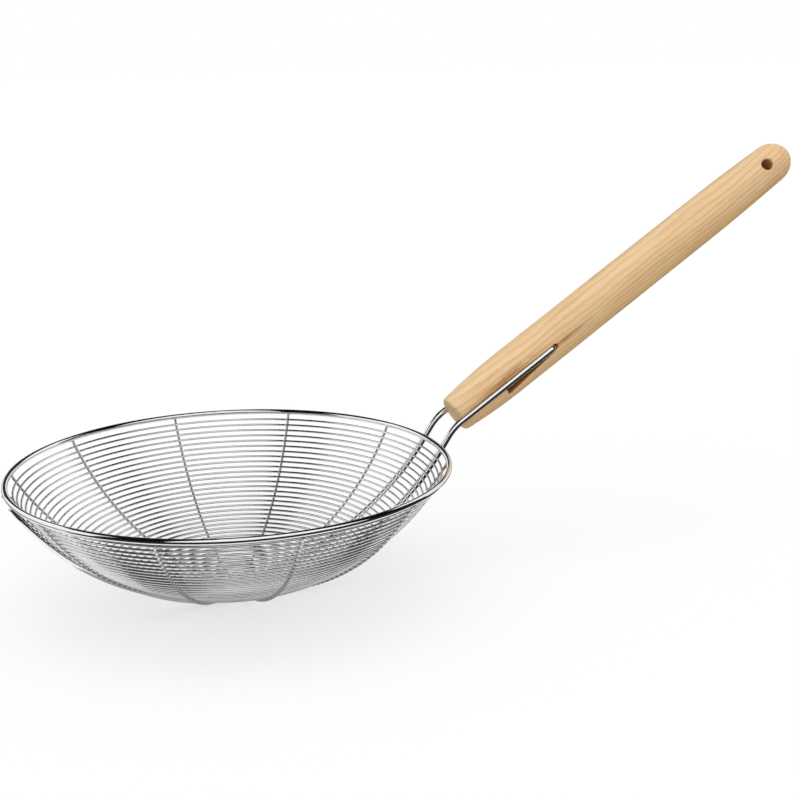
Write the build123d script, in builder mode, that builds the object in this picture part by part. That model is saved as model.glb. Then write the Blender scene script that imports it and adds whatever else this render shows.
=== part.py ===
"""A wire spider skimmer: a bowl of concentric rings on ribs, a hairpin handle wire and a turned wooden handle.

The frame is in millimetres. The origin is the middle of the rim ring, +Z is up and +X points towards the handle.
Every wire of the basket is welded where it crosses another, so nothing moves.
"""
from build123d import *
from math import acos, asin, atan2, cos, degrees, hypot, radians, sin, sqrt, tan
import os

# Basket
rim_outer_diameter = 240
rim_wire = 3.2
basket_depth = 68.2
mesh_wire = 1.3
mesh_ring_count = 38
mesh_middle_opening = 11
first_ring_drop = 5.3
rib_wire = 1.4
rib_line_count = 5
rib_line_step = 34.5
rib_end_overhang = 0.6
weld_sink = 0.01

# Handle wire
leg_wire = 3.65
leg_spacing = 24.4
leg_dip_half_angle = 25
leg_leaves_mesh_angle = 35
leg_rise_length = 7.4
leg_bend_radius = 28
leg_run_to_wood = 1.6
hairpin_corner_radius = 3.7
hairpin_bend_depth = 69.5

# Wooden handle
handle_rise = 31.7
handle_length = 265.5
handle_front_diameter = 21.5
handle_diameter = 26.5
handle_neck_length = 42
handle_taper_start = 188
handle_tip_diameter = 24.1
handle_dome_length = 14
handle_front_edge_round = 1.6
groove_clearance = 0.12
slot_start = 31.2
slot_low_reach = 6.4
hang_hole_diameter = 7
hang_hole_from_tip = 20.8
hang_hole_turn = 30
hang_hole_edge_round = 0.6
cut_overrun = 2
quarter_turn = 90

# The basket's wall follows a sphere through the rim's centre line
rim_radius = (rim_outer_diameter - rim_wire) / 2
rib_sphere = (rim_radius**2 + basket_depth**2) / (2 * basket_depth)
sphere_height = rib_sphere - basket_depth
rim_angle = degrees(acos(sphere_height / rib_sphere))
mesh_sphere = rib_sphere - (rib_wire + mesh_wire) / 2 + weld_sink

# The legs lie in two upright planes beside the middle, under the mesh rings
leg_offset = leg_spacing / 2
leg_mesh_sphere = mesh_sphere + (mesh_wire + leg_wire) / 2 - weld_sink
leg_rib_sphere = rib_sphere + (rib_wire + leg_wire) / 2 - weld_sink
leg_mesh_radius = sqrt(leg_mesh_sphere**2 - leg_offset**2)
leg_rib_radius = sqrt(leg_rib_sphere**2 - leg_offset**2)
rim_contact = (rim_wire + leg_wire) / 2 - weld_sink

os.makedirs("parts", exist_ok=True)


def save(part, name):
    """Names a finished piece and writes it."""
    part.label = name
    export_step(part, f"parts/{name}.step")


def wall_point(sphere_radius, angle):
    """Distance from the middle and height of a point of the wall, at an angle from straight down."""
    return sphere_radius * sin(radians(angle)), sphere_height - sphere_radius * cos(radians(angle))


def ring(radius, height, wire):
    """A closed ring of round wire about the vertical axis."""
    with BuildPart() as hoop:
        with BuildSketch(Plane.XZ):
            with Locations((radius, height)):
                Circle(wire / 2)
        revolve(axis=Axis.Z)
    return hoop.part


# Rim ring
rim_ring = ring(rim_radius, 0, rim_wire)
save(rim_ring, "rim_ring")

# Mesh rings, from the rim down to the middle
first_ring_angle = rim_angle - degrees(first_ring_drop / mesh_sphere)
last_ring_angle = degrees(asin((mesh_middle_opening + mesh_wire) / 2 / mesh_sphere))
pitch_angle = (first_ring_angle - last_ring_angle) / (mesh_ring_count - 1)
for number in range(mesh_ring_count):
    ring_radius, ring_height = wall_point(mesh_sphere, first_ring_angle - number * pitch_angle)
    save(ring(ring_radius, ring_height, mesh_wire), f"mesh_ring_{number + 1:02d}")

# Ribs, from under the rim ring to just past the smallest mesh ring
rib_end_angle = last_ring_angle - degrees(rib_end_overhang / rib_sphere)
rib_azimuths = [
    side + quarter_turn + (line - (rib_line_count - 1) / 2) * rib_line_step
    for side in (0, 2 * quarter_turn)
    for line in range(rib_line_count)
]
for number, azimuth in enumerate(rib_azimuths):
    with BuildPart() as rib:
        with BuildLine(Plane.XZ.rotated((0, 0, azimuth))) as rib_path:
            ThreePointArc(
                wall_point(rib_sphere, rim_angle),
                wall_point(rib_sphere, (rim_angle + rib_end_angle) / 2),
                wall_point(rib_sphere, rib_end_angle),
            )
        with BuildSketch(Plane(origin=rib_path.line @ 0, z_dir=rib_path.line % 0)):
            Circle(rib_wire / 2)
        sweep()
        add(rim_ring, mode=Mode.SUBTRACT)
    save(rib.part, f"rib_{number + 1:02d}")

# Height of each leg's path, worked out from the sphere's middle as circles that touch one another
wall_slope = radians(leg_dip_half_angle)
rib_next_to_leg = radians(quarter_turn - (rib_line_count - 1) / 2 * rib_line_step)
crossing_reach = leg_offset / tan(rib_next_to_leg)
crossing_depth = sqrt(leg_rib_radius**2 - crossing_reach**2)
dip_slack = leg_mesh_radius - crossing_depth * cos(wall_slope)
crossing_side = cos(wall_slope) * crossing_reach
dip_root = sqrt(dip_slack**2 - sin(wall_slope) ** 2 * (dip_slack**2 + crossing_side**2))
dip_radius = (dip_slack + dip_root) / sin(wall_slope) ** 2
dip_straight = (leg_mesh_radius - dip_radius) * tan(wall_slope)

# The last arc swings out from the mesh so that the leg lies against the outside of the rim ring
rim_reach = sqrt(rim_radius**2 - leg_offset**2)
rim_distance = hypot(rim_reach, sphere_height)
rim_slope = atan2(rim_reach, sphere_height)
leaving_slope = radians(leg_leaves_mesh_angle)
rim_gap_radius = leg_mesh_radius - rim_contact
rim_distance_along_leg = rim_distance * cos(rim_slope - leaving_slope)
swing_extra = (rim_gap_radius**2 - rim_distance**2) / 2 / (rim_distance_along_leg - rim_gap_radius)
swing_radius = leg_mesh_radius + swing_extra
rim_slope_of_leg = atan2(
    rim_reach + swing_extra * sin(leaving_slope), sphere_height + swing_extra * cos(leaving_slope)
)
leg_start_slope = rim_slope - (rim_wire / 2 - weld_sink) / leg_mesh_radius

# One half of the handle wire: a leg in its upright plane, then the hairpin bend in the handle's plane
leg_plane = Plane(origin=(0, leg_offset, 0), x_dir=(1, 0, 0), z_dir=(0, -1, 0))
handle_direction = Vector(cos(radians(handle_rise)), 0, sin(radians(handle_rise)))
with BuildLine(leg_plane) as leg_path:
    far_start = (-leg_mesh_radius * sin(leg_start_slope), sphere_height - leg_mesh_radius * cos(leg_start_slope))
    far_tangent = (cos(leg_start_slope), -sin(leg_start_slope))
    far_side = JernArc(far_start, far_tangent, leg_mesh_radius, degrees(leg_start_slope) - leg_dip_half_angle)
    far_straight = PolarLine(far_side @ 1, dip_straight, direction=far_side % 1)
    dip = JernArc(far_straight @ 1, far_straight % 1, dip_radius, 2 * leg_dip_half_angle)
    near_straight = PolarLine(dip @ 1, dip_straight, direction=dip % 1)
    near_side = JernArc(
        near_straight @ 1, near_straight % 1, leg_mesh_radius, leg_leaves_mesh_angle - leg_dip_half_angle
    )
    swing = JernArc(near_side @ 1, near_side % 1, swing_radius, degrees(rim_slope_of_leg) - leg_leaves_mesh_angle)
    rise = PolarLine(swing @ 1, leg_rise_length, direction=swing % 1)
    bend = JernArc(rise @ 1, rise % 1, leg_bend_radius, handle_rise - degrees(rim_slope_of_leg))
    run = PolarLine(
        bend @ 1, leg_run_to_wood + hairpin_bend_depth - hairpin_corner_radius, direction=handle_direction
    )
leg_bend_end = bend @ 1
hairpin_plane = Plane(origin=run @ 1, x_dir=handle_direction, z_dir=handle_direction.cross(Vector(0, -1, 0)))
with BuildLine(hairpin_plane) as hairpin_path:
    corner = JernArc((0, 0), (1, 0), hairpin_corner_radius, quarter_turn)
    PolarLine(corner @ 1, leg_offset - hairpin_corner_radius, direction=corner % 1)
with BuildPart() as handle_wire:
    with BuildLine() as half_path:
        add(leg_path.line)
        add(hairpin_path.line)
    with BuildSketch(Plane(origin=far_side @ 0, z_dir=far_side % 0)):
        Circle(leg_wire / 2)
    sweep(path=half_path.line)
    mirror(about=Plane.XZ)
save(handle_wire.part, "handle_wire")

# Wooden handle, turned about the line midway between the two legs
wood_front = Vector(leg_bend_end.X, 0, leg_bend_end.Z) + handle_direction * leg_run_to_wood
handle_axis = Axis(wood_front, handle_direction)
handle_plane = Plane(origin=wood_front, x_dir=handle_direction, z_dir=(0, -1, 0))
front_plane = Plane(origin=wood_front, x_dir=(0, 1, 0), z_dir=handle_direction)
front_radius = handle_front_diameter / 2
body_radius = handle_diameter / 2
tip_radius = handle_tip_diameter / 2
dome_start = handle_length - handle_dome_length
groove_radius = leg_wire / 2 + groove_clearance
groove_reach = body_radius + cut_overrun - leg_offset
hole_place = handle_plane.from_local_coords((handle_length - hang_hole_from_tip, 0))
hole_direction = Vector(0, -1, 0).rotate(handle_axis, -hang_hole_turn)
with BuildPart() as wooden_handle:
    with BuildSketch(handle_plane):
        with BuildLine():
            front_face = Line((0, 0), (0, front_radius))
            TangentArc((handle_neck_length, body_radius), front_face @ 1, tangent=(-1, 0))
            Line((handle_neck_length, body_radius), (handle_taper_start, body_radius))
            TangentArc((handle_taper_start, body_radius), (dome_start, tip_radius), tangent=(1, 0))
            EllipticalCenterArc((dome_start, 0), handle_dome_length, tip_radius, arc_size=quarter_turn)
            Line((handle_length, 0), (0, 0))
        make_face()
    revolve(axis=handle_axis)
    front_edge = wooden_handle.edges().filter_by(GeomType.CIRCLE).sort_by(handle_axis)[0]
    fillet(front_edge, handle_front_edge_round)
    with BuildSketch(front_plane):
        for side in (1, -1):
            with Locations((side * leg_offset, 0)):
                Circle(groove_radius)
            with Locations((side * (leg_offset + groove_reach / 2), 0)):
                Rectangle(groove_reach, 2 * groove_radius)
    extrude(amount=slot_start + cut_overrun, mode=Mode.SUBTRACT)
    with BuildSketch(handle_plane):
        with Locations((hairpin_bend_depth, 0)):
            Circle(groove_radius)
        with BuildLine():
            Line((slot_start, groove_radius), (slot_start, -slot_low_reach))
        make_hull()
    extrude(amount=body_radius + cut_overrun, both=True, mode=Mode.SUBTRACT)
    with Locations(Plane(origin=hole_place, z_dir=hole_direction)):
        Hole(hang_hole_diameter / 2)
    hole_edges = wooden_handle.edges(Select.LAST).filter_by(GeomType.LINE, reverse=True)
    fillet(hole_edges, hang_hole_edge_round)
save(wooden_handle.part, "wooden_handle")
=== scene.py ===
"""The spider skimmer's looks: polished wires, a turned wooden handle and a pale studio floor.

All is in metres, in the part's own frame: origin in the middle of the rim ring, +X towards the handle.
"""
from math import asin, atan2, ceil, cos, exp, hypot, pi, radians, sin, sqrt, tan

import bmesh
import bpy
from mathutils import Matrix, Vector, noise


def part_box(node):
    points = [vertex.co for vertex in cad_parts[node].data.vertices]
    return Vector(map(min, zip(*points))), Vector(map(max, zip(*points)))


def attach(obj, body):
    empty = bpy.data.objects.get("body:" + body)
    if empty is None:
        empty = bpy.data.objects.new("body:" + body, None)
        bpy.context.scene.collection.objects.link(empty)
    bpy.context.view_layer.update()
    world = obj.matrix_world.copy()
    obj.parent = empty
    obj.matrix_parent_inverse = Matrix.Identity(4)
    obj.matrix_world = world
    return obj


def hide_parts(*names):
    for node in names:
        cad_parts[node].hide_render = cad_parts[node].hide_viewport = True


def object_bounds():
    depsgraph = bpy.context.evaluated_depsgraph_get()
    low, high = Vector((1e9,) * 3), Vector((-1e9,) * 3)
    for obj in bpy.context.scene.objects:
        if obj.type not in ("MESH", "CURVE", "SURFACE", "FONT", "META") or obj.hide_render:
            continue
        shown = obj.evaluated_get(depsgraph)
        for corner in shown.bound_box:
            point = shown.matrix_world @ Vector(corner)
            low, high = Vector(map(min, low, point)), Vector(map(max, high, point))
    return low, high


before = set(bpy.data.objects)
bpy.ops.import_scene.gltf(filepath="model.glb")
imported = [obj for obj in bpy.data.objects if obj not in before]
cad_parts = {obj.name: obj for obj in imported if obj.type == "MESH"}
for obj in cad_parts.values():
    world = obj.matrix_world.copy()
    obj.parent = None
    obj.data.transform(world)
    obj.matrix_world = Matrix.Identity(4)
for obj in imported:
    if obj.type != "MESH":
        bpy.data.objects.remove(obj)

cad_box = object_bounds()

# Basket sizes, as in the part
basket_depth = 0.0682
mesh_wire = 0.0013
rib_wire = 0.0014
rib_line_count = 5
rib_line_step = radians(34.5)
rib_end_overhang = 0.0006
weld_sink = 0.00001
rim_low, rim_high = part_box("rim_ring")
rim_wire = rim_high[2] - rim_low[2]
rim_radius = rim_high[0] - rim_wire / 2
rib_sphere = (rim_radius**2 + basket_depth**2) / (2 * basket_depth)
sphere_height = rib_sphere - basket_depth
mesh_sphere = rib_sphere - (rib_wire + mesh_wire) / 2

# Handle wire sizes, as in the part
leg_wire = 0.00365
leg_offset = 0.0122
leg_dip_half_angle = radians(25)
leg_leaves_mesh_angle = radians(35)
leg_rise_length = 0.0074
leg_bend_radius = 0.028
leg_run_to_wood = 0.0016
hairpin_corner_radius = 0.0037
hairpin_bend_depth = 0.0695

# Wooden handle sizes, as in the part
handle_rise = radians(31.7)
handle_length = 0.2655
handle_front_radius = 0.01075
handle_radius = 0.01325
handle_neck_length = 0.042
handle_taper_start = 0.188
handle_tip_radius = 0.01205
handle_dome_length = 0.014
handle_dome_start = handle_length - handle_dome_length
handle_front_edge_round = 0.0016
groove_clearance = 0.00012
groove_radius = leg_wire / 2 + groove_clearance
slot_start = 0.0312
slot_low_reach = 0.0064
hang_hole_radius = 0.0035
hang_hole_from_tip = 0.0208
hang_hole_turn = radians(30)
hang_hole_flare_depth = 0.0008
hang_hole_flare_width = 0.0024

# Fineness of the wires' and the wood's meshes
mesh_wire_sides = 16
thick_wire_sides = 28
ring_step = 0.003
rib_step = 0.0027
leg_step = 0.0009
bend_step = 0.0005
wood_sides = 144
wood_step = 0.0015
wood_grid = 0.0005
dome_step = radians(4)
cutter_step = radians(10)
hang_hole_sides = 48
smoothing_rounds = 4
smoothing_share = 0.5

# Welds: their width as a share of the crossing wire, and how much they are pressed flat and swollen
weld_width_share = 0.62
ring_press = 0.2
ring_swell = 0.16
rib_press = 0.22
rib_swell = 0.12
sideways_swell = 0.5

# Stations of a wire near a weld and the least gap between two, in weld widths
weld_stations = (-1.8, -1.2, -0.6, 0, 0.6, 1.2, 1.8)
least_station_gap = 0.25

# Where a rib starts inside the rim wire, as a share of that wire from its middle
rib_start_share = 0.42

# Finish of the wires; the ribs' metal is painted darker as painted shade, for ribs lying under the rings
mesh_metal = (0.88, 0.88, 0.885, 1)
rib_metal_painted_shade = (0.45, 0.45, 0.455, 1)
thick_wire_metal = (0.9, 0.9, 0.905, 1)
weld_metal = (0.9, 0.895, 0.885, 1)
mesh_roughness = 0.1
rib_roughness = 0.12
rim_roughness = 0.075
handle_wire_roughness = 0.09
weld_roughness = 0.36
thin_wire_relief = 0.00002
thick_wire_relief = 0.00003
wire_relief_strength = 0.25
die_line_pattern = (60, 9000, 1)
die_line_limits = (0.3, 0.7)
die_line_roughness = (0.8, 1.25)
die_line_height = 0.4
polish_pattern = (180, 180, 180)
smudge_limits = (0.35, 0.75)
smudge_roughness = (0.75, 1.4)
weld_limits = (0.25, 0.9)

# Finish of the wood, whose underside is painted warmer and deeper in colour as painted shade
wood_pale = (0.91, 0.66, 0.39, 1)
wood_pale_painted_shade = (1, 0.65, 0.29, 1)
wood_warm = (0.82, 0.51, 0.245, 1)
wood_warm_painted_shade = (0.9, 0.49, 0.18, 1)
wood_line = (0.58, 0.29, 0.1, 1)
wood_stain = (0.45, 0.2, 0.055, 1)
# Colour of the cut faces: partly raw cut wood, partly painted shade in the recesses
wood_cut_and_recess_shade = (0.6, 0.29, 0.095, 1)
wood_roughness = (0.42, 0.58)
wood_shine = 0.4
wood_relief = 0.0002
wood_relief_strength = 0.35
painted_shade_limits = (0.004, -0.012)

# Grain of the wood: changes in a metre along, across and up the handle, and the part of each that shows
growth_line_spacing = 0.0027
growth_line_strength = 0.7
growth_line_wander = 0.006
pith_from_handle = (0, 0.011, 0.038)
wander_pattern = (14, 60, 60)
late_wood_rise = (0.35, 0.92)
late_wood_fall = (1, 0.93)
late_wood_fading = (20, 130, 130)
late_wood_height = 0.2
fibre_pattern = (55, 1900, 1900)
fibre_limits = (0.42, 0.78)
fibre_middle = (0.3, 0.7)
fibre_strength = 0.34
hair_pattern = (120, 5200, 5200)
hair_limits = (0.3, 0.7)
hair_shades = (0.94, 1.05)
patch_pattern = (9, 95, 95)
patch_limits = (0.36, 0.66)
patch_strength = 0.55
pore_pattern = (260, 3600, 3600)
pore_limits = (0.66, 0.76)
pore_strength = 0.35
pore_height = 0.8
stain_pattern = (70, 420, 420)
stain_limits = (0.3, 0.52)

# Brown stains: place along the handle and half length, height above its middle and half width
stain_places = (
    (0.036, 0.02, 0.0038, 0.0022),
    (0.078, 0.013, 0.0005, 0.0011),
)

# Cut faces of the wood, darker the deeper they lie in the slot, grooves and hole: partly raw cut wood and
# partly painted shade in these recesses. Reach of the end faces, which aren't marked, and depths at which a
# cut shows
open_end_reach = 0.0012
cut_shows_from = 0.0006
cut_deepens_over = 0.0016

# Unevenness of the hand-sanded wood: changes in a metre along and across the handle, and height
wave_along = 45
wave_across = 260
wave_height = 0.00005
ripple_along = 110
ripple_across = 1300
ripple_height = 0.000025

# Camera of the photograph, in its own 800 pixel frame, seen from the middle of the rim ring
photo_width = 800
photo_focal_pixels = 1407
sensor_width = 36
camera_distance = 0.7683
camera_elevation = radians(16.69)
camera_azimuth = radians(-105.97)
camera_pan = radians(7.004)
camera_tilt = radians(-2.355)
camera_roll = radians(3.12)

# Studio
background_white = 1
world_level = 0.72
key_strength = 1.05
key_spread = radians(90)
key_azimuth = radians(234)
key_elevation = radians(58)
floor_size = 30
floor_shade = 0.5
floor_glow = 0.51

# Toned cards round the basket and on the floor: directions round and up in degrees, reach and tones; the
# grey card under the basket is a painted shadow seen in the polish
card_distance = 1.6
card_step = radians(4)
card_lift = 0.002
all_round = (0, 360)
front_directions = (187, 362)
back_directions = (2, 187)
left_directions = (187, 222)
right_directions = (-38, 2)
backdrop_directions = (40, 110)
far_floor_directions = (4, 187)
side_elevations = (16, 86)
front_elevations = (-12, 16)
ceiling_elevations = (44, 86)
backdrop_elevations = (10, 48)
painted_shadow_reach = 0.1
near_floor_start = 0.165
far_floor_start = 0.2
black_tone = 0.002
near_black_tone = 0.01
dark_tone = 0.03
grey_tone = 0.35

quarter_turn = pi / 2
half_turn = pi
full_turn = 2 * pi
up = Vector((0, 0, 1))
handle_side = Vector((0, 1, 0))


def node(tree, kind, inputs=(), **settings):
    """Adds a shader node, sets its own settings and joins or fills its inputs."""
    made = tree.nodes.new(kind)
    for key, value in settings.items():
        setattr(made, key, value)
    for key, value in dict(inputs).items():
        if isinstance(value, bpy.types.NodeSocket):
            tree.links.new(value, made.inputs[key])
        else:
            made.inputs[key].default_value = value
    return made


def maths(tree, operation, first, second=0.0):
    """One arithmetic step."""
    return node(tree, "ShaderNodeMath", {0: first, 1: second}, operation=operation).outputs[0]


def mixed(tree, share, first, second):
    """Mixes two colours."""
    inputs = {0: share, 6: first, 7: second}
    return node(tree, "ShaderNodeMix", inputs, data_type="RGBA").outputs[2]


def between(tree, share, first, second):
    """Mixes two numbers."""
    return node(tree, "ShaderNodeMix", {0: share, 2: first, 3: second}).outputs[0]


def spread(tree, value, limits, new_limits=(0, 1)):
    """Stretches a value from one range to another, with soft ends."""
    inputs = {"Value": value, "From Min": limits[0], "From Max": limits[1]}
    inputs.update({"To Min": new_limits[0], "To Max": new_limits[1]})
    return node(tree, "ShaderNodeMapRange", inputs, interpolation_type="SMOOTHSTEP").outputs[0]


def stretched(tree, vector, stretch):
    """Scales a position by a different amount along each axis."""
    return node(tree, "ShaderNodeVectorMath", {0: vector, 1: stretch}, operation="MULTIPLY").outputs[0]


def cloud(tree, place, pattern, detail=3.0, roughness=0.55):
    """Smooth random values about one half, which change at a different pace along each axis."""
    inputs = {"Vector": stretched(tree, place, pattern), "Scale": 1}
    inputs.update({"Detail": detail, "Roughness": roughness})
    return node(tree, "ShaderNodeTexNoise", inputs).outputs[0]


def effect(name, inputs):
    """A shared effect: a node group with named sockets. Gives its tree and both ends."""
    tree = bpy.data.node_groups.new(name, "ShaderNodeTree")
    for label, kind in inputs.items():
        tree.interface.new_socket(name=label, in_out="INPUT", socket_type=f"NodeSocket{kind}")
    for label, kind in {"Color": "Color", "Roughness": "Float", "Height": "Float"}.items():
        tree.interface.new_socket(name=label, in_out="OUTPUT", socket_type=f"NodeSocket{kind}")
    return tree, tree.nodes.new("NodeGroupInput").outputs, tree.nodes.new("NodeGroupOutput").inputs


def drawn_wire_effect():
    """Die lines along a drawn wire, soft waviness of the polish, and dull matt spots where it is welded."""
    tree, given, wanted = effect(
        "drawn_wire",
        {
            "Place": "Vector",
            "Weld": "Float",
            "Roughness": "Float",
            "Weld Roughness": "Float",
            "Metal": "Color",
            "Weld Metal": "Color",
        },
    )
    lines = cloud(tree, given["Place"], die_line_pattern)
    polish = cloud(tree, given["Place"], polish_pattern, detail=2)
    smudges = spread(tree, polish, smudge_limits)
    weld = spread(tree, given["Weld"], weld_limits)
    smudged = maths(tree, "MULTIPLY", given["Roughness"], spread(tree, smudges, (0, 1), smudge_roughness))
    streaky = maths(tree, "MULTIPLY", smudged, spread(tree, lines, die_line_limits, die_line_roughness))
    relief = maths(tree, "ADD", maths(tree, "MULTIPLY", lines, die_line_height), polish)
    tree.links.new(mixed(tree, weld, given["Metal"], given["Weld Metal"]), wanted["Color"])
    tree.links.new(between(tree, weld, streaky, given["Weld Roughness"]), wanted["Roughness"])
    tree.links.new(relief, wanted["Height"])
    return tree


def wood_grain_effect():
    """Growth lines, fine fibres, broad warm patches and short pores, all running along the handle."""
    tree, given, wanted = effect(
        "wood_grain",
        {
            "Place": "Vector",
            "Pale": "Color",
            "Warm": "Color",
            "Line": "Color",
            "Line Strength": "Float",
            "Line Spacing": "Float",
        },
    )
    place = given["Place"]

    # Growth rings about the pith of the tree, each paler at its start
    moved = node(tree, "ShaderNodeVectorMath", {0: place, 1: pith_from_handle}, operation="ADD").outputs[0]
    flat = stretched(tree, moved, (0, 1, 1))
    pith_distance = node(tree, "ShaderNodeVectorMath", {0: flat}, operation="LENGTH").outputs["Value"]
    wander = maths(tree, "MULTIPLY", cloud(tree, place, wander_pattern, detail=2), growth_line_wander)
    years = maths(tree, "DIVIDE", maths(tree, "ADD", pith_distance, wander), given["Line Spacing"])
    season = maths(tree, "FRACT", years)
    late_wood = maths(
        tree, "MULTIPLY", spread(tree, season, late_wood_rise), spread(tree, season, late_wood_fall)
    )
    faded = maths(tree, "MULTIPLY", late_wood, cloud(tree, place, late_wood_fading))

    # Patterns within the wood
    fibres = cloud(tree, place, fibre_pattern, detail=4, roughness=0.7)
    hairs = cloud(tree, place, hair_pattern, detail=2)
    patches = spread(tree, cloud(tree, place, patch_pattern, detail=2), patch_limits)
    pores = spread(tree, cloud(tree, place, pore_pattern, detail=1), pore_limits)

    # Colour, from the ground to the pores
    ground = mixed(tree, maths(tree, "MULTIPLY", patches, patch_strength), given["Pale"], given["Warm"])
    lined = mixed(tree, maths(tree, "MULTIPLY", faded, given["Line Strength"]), ground, given["Line"])
    fibred = mixed(tree, spread(tree, fibres, fibre_limits, (0, fibre_strength)), lined, given["Line"])
    shade = spread(tree, hairs, hair_limits, hair_shades)
    shaded = node(tree, "ShaderNodeVectorMath", {0: fibred, "Scale": shade}, operation="SCALE").outputs[0]
    pored = mixed(tree, maths(tree, "MULTIPLY", pores, pore_strength), shaded, given["Line"])

    # Relief, in which the pores and the late wood lie deeper
    porous = maths(tree, "SUBTRACT", fibres, maths(tree, "MULTIPLY", pores, pore_height))
    relief = maths(tree, "SUBTRACT", porous, maths(tree, "MULTIPLY", late_wood, late_wood_height))

    tree.links.new(pored, wanted["Color"])
    tree.links.new(spread(tree, fibres, fibre_middle, wood_roughness), wanted["Roughness"])
    tree.links.new(relief, wanted["Height"])
    return tree


drawn_wire = drawn_wire_effect()
wood_grain = wood_grain_effect()


def place_effect(tree, group, inputs):
    """Places a shared effect in a material with its own values."""
    return node(tree, "ShaderNodeGroup", inputs, node_tree=group).outputs


def new_material(name):
    """A plain material and its tree."""
    made = bpy.data.materials.new(name)
    made.use_nodes = True
    return made, made.node_tree


def dress_surface(tree, colour, finish, relief_strength, relief):
    """Gives a material's surface its colour, with the roughness and relief of a shared effect."""
    surface = tree.nodes["Principled BSDF"].inputs
    height = {"Height": finish["Height"], "Strength": relief_strength, "Distance": relief}
    tree.links.new(colour, surface["Base Color"])
    tree.links.new(finish["Roughness"], surface["Roughness"])
    tree.links.new(node(tree, "ShaderNodeBump", height).outputs[0], surface["Normal"])
    return surface


def steel(name, metal, roughness, relief):
    """Bright drawn stainless wire."""
    made, tree = new_material(name)
    given = {
        "Place": node(tree, "ShaderNodeAttribute", attribute_name="wire_place").outputs["Vector"],
        "Weld": node(tree, "ShaderNodeAttribute", attribute_name="weld").outputs["Fac"],
        "Roughness": roughness,
        "Weld Roughness": weld_roughness,
        "Metal": metal,
        "Weld Metal": weld_metal,
    }
    finish = place_effect(tree, drawn_wire, given)
    surface = dress_surface(tree, finish["Color"], finish, wire_relief_strength, relief)
    surface["Metallic"].default_value = 1
    return made


def pale_wood(front):
    """Sanded pale wood with a thin oil, its underside painted warmer as painted shade, darker where it was
    cut and more so deep in the recesses, which is partly painted shade; front is the middle of the front
    end.
    """
    made, tree = new_material("sanded_wood")
    object_place = node(tree, "ShaderNodeTexCoord").outputs["Object"]
    turned = {"Vector": object_place, "Location": front, "Rotation": (0, -handle_rise, 0)}
    place = node(tree, "ShaderNodeMapping", turned, vector_type="TEXTURE").outputs[0]
    over = node(tree, "ShaderNodeSeparateXYZ", {0: place}).outputs["Z"]
    # Painted shade: the underside's colours are warmer and deeper, standing in for the shade under the
    # handle
    painted_underside_shade = spread(tree, over, painted_shade_limits)
    given = {
        "Place": place,
        "Pale": mixed(tree, painted_underside_shade, wood_pale, wood_pale_painted_shade),
        "Warm": mixed(tree, painted_underside_shade, wood_warm, wood_warm_painted_shade),
        "Line": wood_line,
        "Line Strength": growth_line_strength,
        "Line Spacing": growth_line_spacing,
    }
    grain = place_effect(tree, wood_grain, given)
    cut = node(tree, "ShaderNodeAttribute", attribute_name="cut").outputs["Fac"]
    stain = node(tree, "ShaderNodeAttribute", attribute_name="stain").outputs["Fac"]
    broken = spread(tree, cloud(tree, place, stain_pattern), stain_limits)
    stained = mixed(tree, maths(tree, "MULTIPLY", stain, broken), grain["Color"], wood_stain)
    # Cut faces darken with depth: raw cut wood and painted shade in the slot, grooves and hole
    colour = mixed(tree, cut, stained, wood_cut_and_recess_shade)
    surface = dress_surface(tree, colour, grain, wood_relief_strength, wood_relief)
    surface["Specular IOR Level"].default_value = wood_shine
    return made


def mesh_object(name, points, faces):
    """A new object in the scene."""
    mesh = bpy.data.meshes.new(name)
    mesh.from_pydata(points, [], faces)
    made = bpy.data.objects.new(name, mesh)
    bpy.context.scene.collection.objects.link(made)
    return made


def finish_piece(name, points, faces, material, nodes, attributes):
    """Makes a piece, gives it its finish, attaches it to the root body and hides the CAD parts it stands in
    for.
    """
    piece = mesh_object(name, points, faces)
    mesh = piece.data
    for label, kind, values in attributes:
        layer = mesh.attributes.new(label, kind, "POINT")
        layer.data.foreach_set("value" if kind == "FLOAT" else "vector", values)
    mesh.shade_smooth()
    mesh.materials.append(material)
    mesh.update()
    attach(piece, "root")
    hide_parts(*nodes)


def circle_angles(sides):
    """Directions of evenly spaced points round a circle."""
    return [full_turn * number / sides for number in range(sides)]


def tube_faces(rows, sides, closed=False):
    """Faces between neighbouring rows of points that each go once round a tube."""
    faces = []
    for row in range(rows if closed else rows - 1):
        start = row * sides
        following = (row + 1) % rows * sides
        for number in range(sides):
            nearby = (number + 1) % sides
            faces.append((start + number, start + nearby, following + nearby, following + number))
    return faces


def end_faces(rows, sides):
    """The two flat faces that close a tube's ends."""
    last = (rows - 1) * sides
    return [tuple(reversed(range(sides))), tuple(range(last, last + sides))]


def section(station, wire, sides, press, swell):
    """Points round the wire at one station: a weld is flat on its free side and swollen on its other."""
    point, heading, free, weld = station
    side = heading.cross(free)
    flat_height = wire / 2 * (1 - press * weld)
    for angle in circle_angles(sides):
        away = min(wire / 2 * cos(angle), flat_height)
        towards = max(-cos(angle), 0)
        away -= wire / 2 * towards * swell * weld
        aside = wire / 2 * sin(angle) * (1 + swell * weld * (sideways_swell + towards))
        yield point + free * away + side * aside


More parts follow.
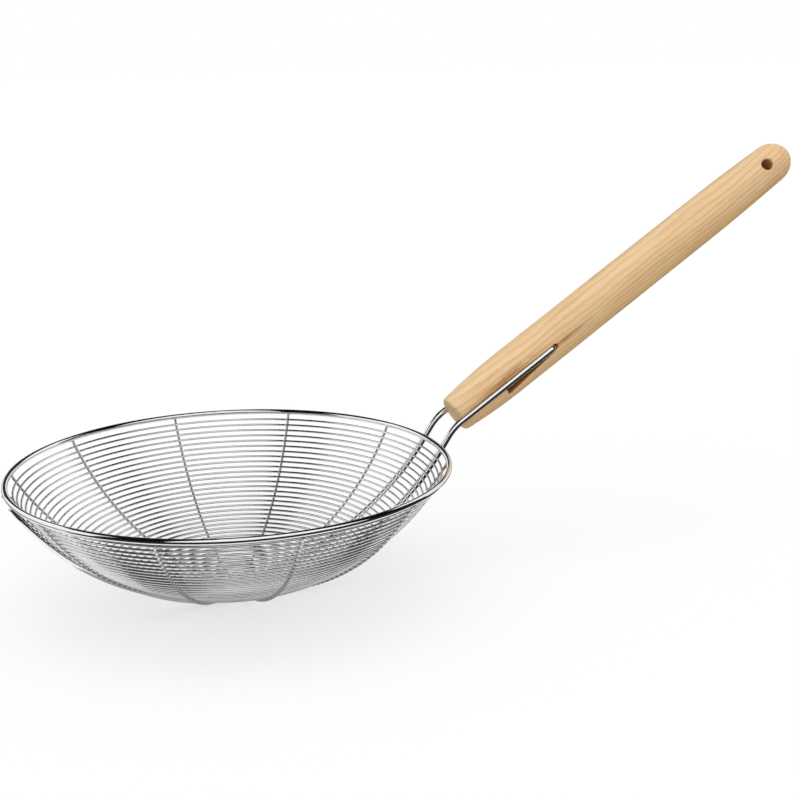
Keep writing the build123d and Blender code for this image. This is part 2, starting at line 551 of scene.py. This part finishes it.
def wire_piece(name, stations, wire, sides, material, closed=False, press=0, swell=0):
    """A round wire along its stations: each a point, the wire's direction, its free side and weld share."""
    points = [point for station in stations for point in section(station, wire, sides, press, swell)]
    faces = tube_faces(len(stations), sides, closed)
    if not closed:
        faces += end_faces(len(stations), sides)
    welds = [station[3] for station in stations for _ in range(sides)]
    places = []
    travelled = 0
    for number, station in enumerate(stations):
        travelled += (station[0] - stations[number - 1][0]).length if number else 0
        for corner in range(sides):
            places.extend((travelled, wire * half_turn * abs(2 * corner / sides - 1), 0))
    attributes = (("weld", "FLOAT", welds), ("wire_place", "FLOAT_VECTOR", places))
    finish_piece(name, points, faces, material, (name,), attributes)


def even_steps(start, end, step):
    """Values from start to end, evenly spaced at about the step."""
    count = max(2, ceil(abs(end - start) / step))
    return [start + (end - start) * number / count for number in range(count + 1)]


def nearness(distance, width):
    """One at the middle of a weld or stain, fading away over about twice its width."""
    return exp(-((distance / width) ** 2))


def crowded(values, welds, width):
    """Adds closer steps around each weld, and drops steps that would nearly coincide."""
    beside_welds = [place + width * share for place in welds for share in weld_stations]
    wanted = sorted(values + beside_welds)
    kept = wanted[:1]
    for value in wanted[1:]:
        if value - kept[-1] > width * least_station_gap:
            kept.append(value)
    return kept


def closed_ring(name, radius, height, wire, sides, material, welds=(), press=0, swell=0):
    """A ring of wire about the upright axis, its free side towards the middle of the basket's sphere."""
    width = rib_wire * weld_width_share / radius
    steps = even_steps(0, full_turn, ring_step / radius)[:-1]
    wanted = crowded(steps, [weld % full_turn for weld in welds], width)
    around = [angle for angle in wanted if 0 <= angle < full_turn - width * least_station_gap]
    stations = []
    for angle in around:
        reach = Vector((cos(angle), sin(angle), 0))
        heading = Vector((-sin(angle), cos(angle), 0))
        free = (reach * -radius + up * (sphere_height - height)).normalized()
        gaps = [abs((angle - weld + half_turn) % full_turn - half_turn) for weld in welds]
        share = nearness(min(gaps, default=half_turn), width)
        stations.append((reach * radius + up * height, heading, free, share))
    wire_piece(name, stations, wire, sides, material, closed=True, press=press, swell=swell)


def rib(name, azimuth, material, ring_angles):
    """A thin wire under the mesh rings, from past the smallest one up into the rim ring."""
    width = mesh_wire * weld_width_share / rib_sphere
    start_angle = asin(rim_radius / rib_sphere) - rim_wire * rib_start_share / rib_sphere
    end_angle = min(ring_angles) - rib_end_overhang / rib_sphere
    outwards = Vector((cos(azimuth), sin(azimuth), 0))
    stations = []
    for angle in crowded(even_steps(end_angle, start_angle, rib_step / rib_sphere), ring_angles, width):
        free = outwards * sin(angle) - up * cos(angle)
        heading = outwards * cos(angle) + up * sin(angle)
        gap = min(abs(angle - weld) for weld in ring_angles + [start_angle])
        stations.append((free * rib_sphere + up * sphere_height, heading, free, nearness(gap, width)))
    wire_piece(name, stations, rib_wire, mesh_wire_sides, material, press=rib_press, swell=rib_swell)


def ring_place(name):
    """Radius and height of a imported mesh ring's centre line."""
    low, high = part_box(name)
    return (high[0] - low[0] - mesh_wire) / 2, (high[2] + low[2]) / 2


def leg_welds(radius, height):
    """Where both legs touch a mesh ring: all up the far side, but on the near side until they leave it."""
    reach = sqrt(max(radius**2 - leg_offset**2, 0))
    slope = atan2(reach, sphere_height - height)
    if radius <= leg_offset or slope < leg_dip_half_angle:
        return []
    aside = asin(leg_offset / radius)
    near = [aside, -aside] if slope < leg_leaves_mesh_angle else []
    return [half_turn - aside, half_turn + aside] + near


# Mesh rings, rim ring and ribs
mesh_steel = steel("bright_wire", mesh_metal, mesh_roughness, thin_wire_relief)
# The ribs' steel is painted darker: painted shade for the ribs under the rings
rib_steel_painted_shade = steel("rib_steel_painted_shade", rib_metal_painted_shade, rib_roughness, thin_wire_relief)
rim_steel = steel("rim_steel", thick_wire_metal, rim_roughness, thick_wire_relief)
handle_steel = steel("handle_steel", thick_wire_metal, handle_wire_roughness, thick_wire_relief)
rib_azimuths = [
    side + quarter_turn + (line - (rib_line_count - 1) / 2) * rib_line_step
    for side in (0, half_turn)
    for line in range(rib_line_count)
]
ring_names = sorted(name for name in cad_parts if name.startswith("mesh_ring_"))
ring_places = [ring_place(name) for name in ring_names]
for name, (radius, height) in zip(ring_names, ring_places):
    closed_ring(
        name, radius, height, mesh_wire, mesh_wire_sides, mesh_steel,
        welds=rib_azimuths + leg_welds(radius, height), press=ring_press, swell=ring_swell,
    )
closed_ring("rim_ring", rim_radius, 0, rim_wire, thick_wire_sides, rim_steel)
ring_angles = [asin(radius / mesh_sphere) for radius, height in ring_places]
for number, azimuth in enumerate(rib_azimuths):
    rib(f"rib_{number + 1:02d}", azimuth, rib_steel_painted_shade, ring_angles)


def go_straight(path, length, step=leg_step):
    """Adds a straight run to a path."""
    point, heading, free = path[-1]
    for distance in even_steps(0, length, step)[1:]:
        path.append((point + heading * distance, heading, free))


def go_round(path, radius, turn, axis, step=leg_step):
    """Adds an arc to a path, turning about an axis."""
    point, heading, free = path[-1]
    centre = point + axis.cross(heading) * (radius if turn > 0 else -radius)
    for angle in even_steps(0, turn, step / radius)[1:]:
        swing = Matrix.Rotation(angle, 3, axis)
        path.append((centre + swing @ (point - centre), swing @ heading, swing @ free))


def mirrored(vector):
    """The same vector on the other side of the handle."""
    return Vector((vector.x, -vector.y, vector.z))


# The legs' dip under the ends of the ribs, as circles that touch one another
leg_mesh_sphere = rib_sphere - (rib_wire + mesh_wire) / 2 + (mesh_wire + leg_wire) / 2
leg_mesh_radius = sqrt(leg_mesh_sphere**2 - leg_offset**2)
leg_rib_radius = sqrt((rib_sphere + (rib_wire + leg_wire) / 2 - weld_sink) ** 2 - leg_offset**2)
rib_next_to_leg = quarter_turn - (rib_line_count - 1) / 2 * rib_line_step
crossing_reach = leg_offset / tan(rib_next_to_leg)
crossing_depth = sqrt(leg_rib_radius**2 - crossing_reach**2)
crossing_side = cos(leg_dip_half_angle) * crossing_reach
dip_slack = leg_mesh_radius - crossing_depth * cos(leg_dip_half_angle)
dip_slope = sin(leg_dip_half_angle) ** 2
dip_root = sqrt(dip_slack**2 - dip_slope * (dip_slack**2 + crossing_side**2))
dip_radius = (dip_slack + dip_root) / dip_slope
dip_straight = (leg_mesh_radius - dip_radius) * tan(leg_dip_half_angle)

# The legs' last arc, which swings out from the mesh to pass outside the rim ring
rim_contact = (rim_wire + leg_wire) / 2 - weld_sink
rim_reach = sqrt(rim_radius**2 - leg_offset**2)
rim_distance = hypot(rim_reach, sphere_height)
rim_slope = atan2(rim_reach, sphere_height)
rim_gap_radius = leg_mesh_radius - rim_contact
rim_distance_along_leg = rim_distance * cos(rim_slope - leg_leaves_mesh_angle)
swing_extra = (rim_gap_radius**2 - rim_distance**2) / 2 / (rim_distance_along_leg - rim_gap_radius)
swing_radius = leg_mesh_radius + swing_extra
swing_slope = atan2(
    rim_reach + swing_extra * sin(leg_leaves_mesh_angle),
    sphere_height + swing_extra * cos(leg_leaves_mesh_angle),
)

# Handle wire: one leg from its far end under the mesh and up past the rim, then half of the hairpin bend
leg_start_slope = rim_slope - (rim_wire / 2 - weld_sink) / leg_mesh_radius
leg_axis = Vector((0, -1, 0))
leg_centre = up * sphere_height + handle_side * leg_offset
start_heading = Vector((cos(leg_start_slope), 0, -sin(leg_start_slope)))
start_free = start_heading.cross(leg_axis)
half_path = [(leg_centre + start_free * leg_mesh_radius, start_heading, start_free)]
go_round(half_path, leg_mesh_radius, leg_start_slope - leg_dip_half_angle, leg_axis)
go_straight(half_path, dip_straight)
go_round(half_path, dip_radius, 2 * leg_dip_half_angle, leg_axis)
go_straight(half_path, dip_straight)
go_round(half_path, leg_mesh_radius, leg_leaves_mesh_angle - leg_dip_half_angle, leg_axis)
go_round(half_path, swing_radius, swing_slope - leg_leaves_mesh_angle, leg_axis)
go_straight(half_path, leg_rise_length)
go_round(half_path, leg_bend_radius, handle_rise - swing_slope, leg_axis, bend_step)
bend_end, handle_direction, handle_under = half_path[-1]
go_straight(half_path, leg_run_to_wood + hairpin_bend_depth - hairpin_corner_radius, ring_step)
go_round(half_path, hairpin_corner_radius, quarter_turn, handle_under, bend_step)
go_straight(half_path, leg_offset - hairpin_corner_radius, bend_step)
other_half = [
    (mirrored(point), -mirrored(heading), mirrored(free))
    for point, heading, free in reversed(half_path[:-1])
]
stations = [(point, heading, free, 0) for point, heading, free in half_path + other_half]
wire_piece("handle_wire", stations, leg_wire, thick_wire_sides, handle_steel)

# Wooden handle
wood_front = Vector((bend_end.x, 0, bend_end.z)) + handle_direction * leg_run_to_wood
handle_over = -handle_under


def arc_drop(reach, drop, distance):
    """How far an arc has dropped at a distance, where it starts level and has a given drop at its reach."""
    radius = (reach**2 + drop**2) / (2 * drop)
    return radius - sqrt(radius**2 - distance**2)


def handle_radius_at(distance):
    """Radius of the turned handle at a distance from its front."""
    if distance < handle_neck_length:
        rounding = handle_front_edge_round
        rounded_off = rounding - sqrt(rounding**2 - max(rounding - distance, 0) ** 2)
        neck_drop = handle_radius - handle_front_radius
        dropped = arc_drop(handle_neck_length, neck_drop, handle_neck_length - distance)
        return handle_radius - dropped - rounded_off
    if distance < handle_taper_start:
        return handle_radius
    if distance < handle_dome_start:
        taper_length = handle_dome_start - handle_taper_start
        taper_drop = handle_radius - handle_tip_radius
        return handle_radius - arc_drop(taper_length, taper_drop, distance - handle_taper_start)
    share = min((distance - handle_dome_start) / handle_dome_length, 1)
    return handle_tip_radius * sqrt(1 - share**2)


def wood_point(along, side, over):
    """A point given along the handle, to its left and above its middle."""
    return wood_front + handle_direction * along + handle_side * side + handle_over * over


def helper_object(name, points, faces):
    """A closed mesh, its faces all turned outwards, that only shapes another one and is then taken away."""
    made = mesh_object(name, points, faces)
    shell = bmesh.new()
    shell.from_mesh(made.data)
    bmesh.ops.recalc_face_normals(shell, faces=shell.faces)
    shell.to_mesh(made.data)
    shell.free()
    return made


def turned_blank():
    """The plain turned handle, before it is cut."""
    along = even_steps(0, handle_front_edge_round, wood_grid / 2)
    along += even_steps(handle_front_edge_round, handle_dome_start, wood_step)[1:]
    for angle in even_steps(0, quarter_turn, dome_step)[1:-1]:
        along.append(handle_dome_start + handle_dome_length * sin(angle))
    points = []
    for distance in along:
        radius = handle_radius_at(distance)
        for angle in circle_angles(wood_sides):
            points.append(wood_point(distance, radius * cos(angle), radius * sin(angle)))
    tip = len(points)
    points.append(wood_point(handle_length, 0, 0))
    faces = tube_faces(len(along), wood_sides)
    faces.append(tuple(range(wood_sides)))
    dome_edge = range(tip - wood_sides, tip)
    for number, corner in enumerate(dome_edge):
        faces.append((corner, dome_edge[(number + 1) % wood_sides], tip))
    return helper_object("turned_blank", points, faces)


def cutter(name, rows):
    """A solid through rows of points, each once round it, that cuts the handle's blank."""
    sides = len(rows[0])
    faces = [tuple(reversed(face)) for face in end_faces(len(rows), sides)]
    for first, second, third, fourth in tube_faces(len(rows), sides):
        faces.append((second, first, fourth, third))
    return helper_object(name, [point for row in rows for point in row], faces)


def prism(name, outline, place, half_depth):
    """A straight-sided cutter with a given outline; place turns its two measures and depth into a point."""
    depths = (-half_depth, half_depth)
    return cutter(name, [[place(first, second, depth) for first, second in outline] for depth in depths])


def slot_cutter():
    """The wedge slot: round at the hairpin bend, widening downwards to its square near end."""
    reach = hairpin_bend_depth - slot_start
    lower = atan2(slot_low_reach, reach) + asin(groove_radius / hypot(reach, slot_low_reach))
    outline = [
        (hairpin_bend_depth + groove_radius * sin(angle), groove_radius * cos(angle))
        for angle in even_steps(0, half_turn + lower, cutter_step)
    ]
    outline += [(slot_start, -slot_low_reach), (slot_start, groove_radius)]

    def place(along, over, side):
        return wood_point(along, side, over)

    return prism("slot_cutter", outline, place, 2 * handle_radius)


def groove_cutter(side):
    """The open groove that holds one leg on the side of the handle."""
    outline = [
        (leg_offset - groove_radius * sin(angle), groove_radius * cos(angle))
        for angle in even_steps(0, half_turn, cutter_step)
    ]
    outline += [(2 * handle_radius, -groove_radius), (2 * handle_radius, groove_radius)]

    def place(out, over, depth):
        return wood_point(slot_start / 2 + depth, side * out, over)

    return prism(f"groove_cutter_{side}", outline, place, slot_start / 2 + groove_radius)


def hole_cutter():
    """The hang hole, a little flared at both ends."""
    turned_over = handle_over * cos(hang_hole_turn) + handle_side * sin(hang_hole_turn)
    turned_side = handle_side * cos(hang_hole_turn) - handle_over * sin(hang_hole_turn)
    along = handle_length - hang_hole_from_tip
    middle = wood_point(along, 0, 0)
    outer = handle_radius_at(along) + hang_hole_flare_depth
    inner = handle_radius_at(along) - hang_hole_flare_depth
    wide = hang_hole_radius + hang_hole_flare_width
    profile = [(-outer, wide), (-inner, hang_hole_radius), (inner, hang_hole_radius), (outer, wide)]
    spokes = [
        handle_direction * cos(angle) + turned_over * sin(angle)
        for angle in circle_angles(hang_hole_sides)
    ]
    rows = [[middle + turned_side * depth + spoke * radius for spoke in spokes] for depth, radius in profile]
    return cutter("hole_cutter", rows)


def cut_handle():
    """Cuts the blank, evens out its mesh and eases its edges."""
    blank = turned_blank()
    cutters = [slot_cutter(), groove_cutter(1), groove_cutter(-1), hole_cutter()]
    for cutter in cutters:
        cut = blank.modifiers.new(cutter.name, "BOOLEAN")
        cut.object = cutter
        cut.operation = "DIFFERENCE"
        cut.solver = "EXACT"
    evened = blank.modifiers.new("evened", "REMESH")
    evened.mode = "VOXEL"
    evened.voxel_size = wood_grid
    eased = blank.modifiers.new("eased", "SMOOTH")
    eased.factor = smoothing_share
    eased.iterations = smoothing_rounds
    shaped = bpy.data.meshes.new_from_object(blank.evaluated_get(bpy.context.evaluated_depsgraph_get()))
    for helper in [blank, *cutters]:
        bpy.data.objects.remove(helper)
    return shaped


def unevenness(along, side, over):
    """How far the hand-sanded wood stands out or lies back at a place on the handle."""
    wave = noise.noise(Vector((along * wave_along, side * wave_across, over * wave_across)))
    ripple = noise.noise(Vector((along * ripple_along, side * ripple_across, over * ripple_across)))
    return wave_height * wave + ripple_height * ripple


def cut_and_recess_shade_share(along, side, over):
    """How much a place on the handle looks cut and shaded: all the more the deeper it lies in the blank,
    partly as painted shade in the recesses.
    """
    if min(along, handle_length - along) < open_end_reach:
        return 0
    depth = handle_radius_at(min(max(along, 0), handle_length)) - hypot(side, over)
    return min(max((depth - cut_shows_from) / cut_deepens_over, 0), 1)


def stain_share(along, over):
    """How strongly the brown stains show at a place on the handle."""
    shares = [
        nearness(along - middle, half_length) * nearness(over - height, half_width)
        for middle, half_length, height, half_width in stain_places
    ]
    return min(sum(shares), 1)


def dress_handle():
    """The wooden handle's piece, a little uneven, with its cut faces, darkened with depth as partly painted
    shade, and its stains marked.
    """
    shaped = cut_handle()
    points = []
    cut_and_shade_shares = []
    stains = []
    for vertex in shaped.vertices:
        local = vertex.co - wood_front
        along = local.dot(handle_direction)
        side = local.dot(handle_side)
        over = local.dot(handle_over)
        points.append(vertex.co + vertex.normal * unevenness(along, side, over))
        cut_and_shade_shares.append(cut_and_recess_shade_share(along, side, over))
        stains.append(stain_share(along, over))
    faces = [tuple(polygon.vertices) for polygon in shaped.polygons]
    bpy.data.meshes.remove(shaped)
    attributes = (("cut", "FLOAT", cut_and_shade_shares), ("stain", "FLOAT", stains))
    wood = pale_wood(wood_front)
    finish_piece("wooden_handle", points, faces, wood, ("wooden_handle",), attributes)


dress_handle()


def grey(tone):
    """A colour without hue."""
    return (tone, tone, tone, 1)


def seen_directly(tree, strength):
    """A strength that holds for camera, mirror and glass rays alone."""
    path = node(tree, "ShaderNodeLightPath").outputs
    seen = maths(tree, "MAXIMUM", path["Is Camera Ray"], path["Is Glossy Ray"])
    seen = maths(tree, "MAXIMUM", seen, path["Is Transmission Ray"])
    return maths(tree, "MULTIPLY", seen, strength)


def show(tree, shader):
    """Makes a shader the surface of its material."""
    tree.links.new(shader.outputs[0], tree.nodes["Material Output"].inputs["Surface"])


def studio_floor():
    """A pale floor under the basket that shows white, with the object's soft shadow on it."""
    half = floor_size / 2
    corners = [(-half, -half), (half, -half), (half, half), (-half, half)]
    paper = mesh_object("studio_floor", [(x, y, cad_box[0].z) for x, y in corners], [(0, 1, 2, 3)])
    material, tree = new_material("floor_paper")
    surface = tree.nodes["Principled BSDF"]
    surface.inputs["Base Color"].default_value = grey(floor_shade)
    surface.inputs["Roughness"].default_value = 1
    surface.inputs["Specular IOR Level"].default_value = 0
    seen = {"Color": grey(1), "Strength": seen_directly(tree, floor_glow)}
    glow = node(tree, "ShaderNodeEmission", seen)
    show(tree, node(tree, "ShaderNodeAddShader", {0: surface.outputs[0], 1: glow.outputs[0]}))
    paper.data.materials.append(material)


def studio_world():
    """Even soft light from all round, and a white background behind the object and in its polish."""
    world = bpy.data.worlds.new("white_room")
    world.use_nodes = True
    tree = world.node_tree
    room = tree.nodes["Background"]
    room.inputs["Color"].default_value = grey(1)
    brighter = seen_directly(tree, background_white - world_level)
    tree.links.new(maths(tree, "ADD", brighter, world_level), room.inputs["Strength"])
    bpy.context.scene.world = world


def card_angles(limits):
    """The angles of a curved card's rows or columns."""
    return even_steps(radians(limits[0]), radians(limits[1]), card_step)


def toned_card(name, directions, rows, place, tone):
    """A card of one tone that only polished metal sees, as lines along the wires."""
    across = card_angles(directions)
    points = [place(turn, row) for row in rows for turn in across]
    columns = len(across)
    faces = [
        (start, start + 1, start + columns + 1, start + columns)
        for row in range(len(rows) - 1)
        for start in range(row * columns, row * columns + columns - 1)
    ]
    card = mesh_object(name, points, faces)
    material, tree = new_material(name)
    show(tree, node(tree, "ShaderNodeEmission", {"Color": grey(tone), "Strength": 1}))
    card.data.materials.append(material)
    card.visible_camera = False
    card.visible_diffuse = False
    card.visible_shadow = False


def wall_card(name, directions, elevations, tone):
    """A curved card that stands round the table, in the directions in which the basket sees it."""

    def place(turn, rise):
        return Vector((cos(turn) * cos(rise), sin(turn) * cos(rise), sin(rise))) * card_distance

    toned_card(name, directions, card_angles(elevations), place, tone)


def floor_card(name, directions, reach, tone):
    """A card that lies on the floor, from one distance from the basket's middle to another."""

    def place(turn, distance):
        return Vector((cos(turn) * distance, sin(turn) * distance, cad_box[0].z + card_lift))

    toned_card(name, directions, reach, place, tone)


def key_lamp():
    """A broad soft light from above and a little to the left."""
    data = bpy.data.lights.new("key_lamp", "SUN")
    data.angle = key_spread
    data.energy = key_strength
    lamp = bpy.data.objects.new("key_lamp", data)
    level = cos(key_elevation)
    towards = Vector((level * cos(key_azimuth), level * sin(key_azimuth), sin(key_elevation)))
    lamp.visible_glossy = False
    lamp.rotation_mode = "QUATERNION"
    lamp.rotation_quaternion = towards.to_track_quat("Z", "Y")
    bpy.context.scene.collection.objects.link(lamp)


def place_camera():
    """Sets the photograph's view: looks at the rim ring's middle, then pans, tilts and rolls."""
    level = cos(camera_elevation)
    towards = Vector((level * cos(camera_azimuth), level * sin(camera_azimuth), sin(camera_elevation)))
    right = Vector((-sin(camera_azimuth), cos(camera_azimuth), 0))
    aim = Matrix((right, towards.cross(right), towards))
    turn = (
        Matrix.Rotation(camera_roll, 3, "Z")
        @ Matrix.Rotation(camera_tilt, 3, "X")
        @ Matrix.Rotation(camera_pan, 3, "Y")
    )
    data = bpy.data.cameras.new("photo_camera")
    data.sensor_width = sensor_width
    data.lens = sensor_width * photo_focal_pixels / photo_width
    camera = bpy.data.objects.new("photo_camera", data)
    camera.matrix_world = Matrix.Translation(towards * camera_distance) @ (turn @ aim).transposed().to_4x4()
    bpy.context.scene.collection.objects.link(camera)
    bpy.context.scene.camera = camera


studio_floor()
studio_world()
wall_card("left_side", left_directions, side_elevations, black_tone)
wall_card("right_side", right_directions, side_elevations, black_tone)
wall_card("camera_side", front_directions, front_elevations, near_black_tone)
wall_card("ceiling", back_directions, ceiling_elevations, near_black_tone)
wall_card("backdrop", backdrop_directions, backdrop_elevations, dark_tone)
# Painted shadow: a grey card under the basket that only the polish sees, standing in for the basket's shadow
# on the floor
floor_card("under_basket_painted_shadow", all_round, (0, painted_shadow_reach), grey_tone)
floor_card("near_floor", front_directions, (near_floor_start, card_distance), dark_tone)
floor_card("far_floor", far_floor_directions, (far_floor_start, card_distance), grey_tone)
key_lamp()
place_camera()
bpy.context.scene.view_settings.view_transform = "Standard"
